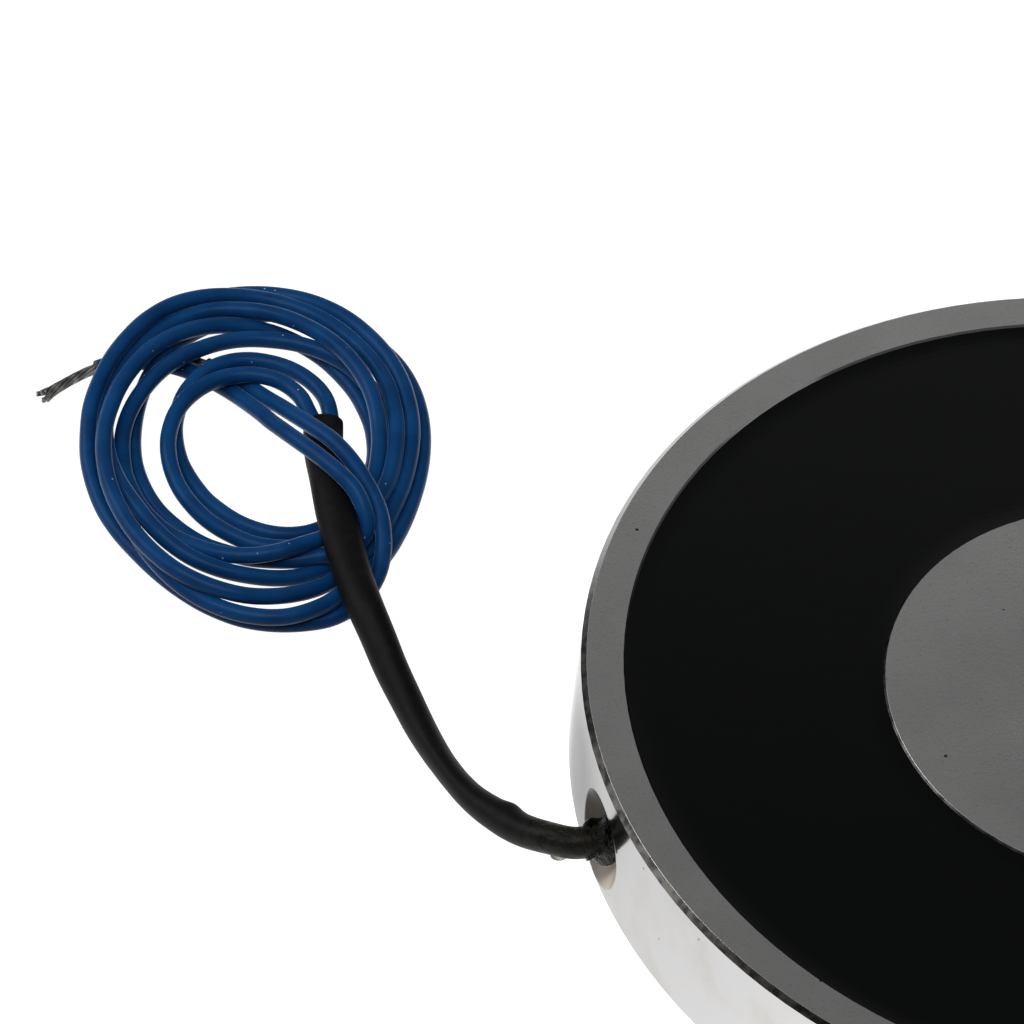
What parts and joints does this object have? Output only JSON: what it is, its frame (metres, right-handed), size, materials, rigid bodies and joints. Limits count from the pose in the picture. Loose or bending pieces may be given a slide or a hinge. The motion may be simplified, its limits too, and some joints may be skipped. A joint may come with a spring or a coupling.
{
  "type": "holding electromagnet",
  "caption": "Flat round holding electromagnet: turned steel pot with a centre pole, black potted winding, and sleeved blue leads coiled beside it.",
  "frame": {"origin": "middle of the pot's back face, on its axis", "axes": "+Z along the pot's axis, out of the holding face; -X out of the lead exit"},
  "size_m": [0.1074, 0.1011, 0.01],
  "materials": {
    "nickel_plated_steel": "mirror-bright nickel plate on the side, ground grey on the ring and pole faces",
    "bobbin_nylon": "moulded",
    "enamelled_copper": "enamelled copper",
    "polyester_tape": "thin film tape",
    "solder": "tin solder",
    "shrink_sleeve": "matt shrunk tubing",
    "lead_insulation": "satin extruded insulation",
    "potting_resin": "cast epoxy, satin",
    "exit_glue": "set glue, lumpy",
    "tinned_strands": "twisted tinned strands"
  },
  "bodies": {
    "root": {"pot": "nickel_plated_steel", "bobbin": "bobbin_nylon", "winding": "enamelled_copper", "winding_tape": "polyester_tape", "start_wire": "enamelled_copper", "finish_wire": "enamelled_copper", "start_solder": "solder", "finish_solder": "solder", "start_cover": "shrink_sleeve", "finish_cover": "shrink_sleeve", "start_lead_tail": "lead_insulation", "finish_lead_tail": "lead_insulation", "potting": "potting_resin", "exit_glue": "exit_glue", "lead_sleeve": "shrink_sleeve", "lead_coil": "lead_insulation", "bare_end": "tinned_strands"}
  },
  "joints": []
}
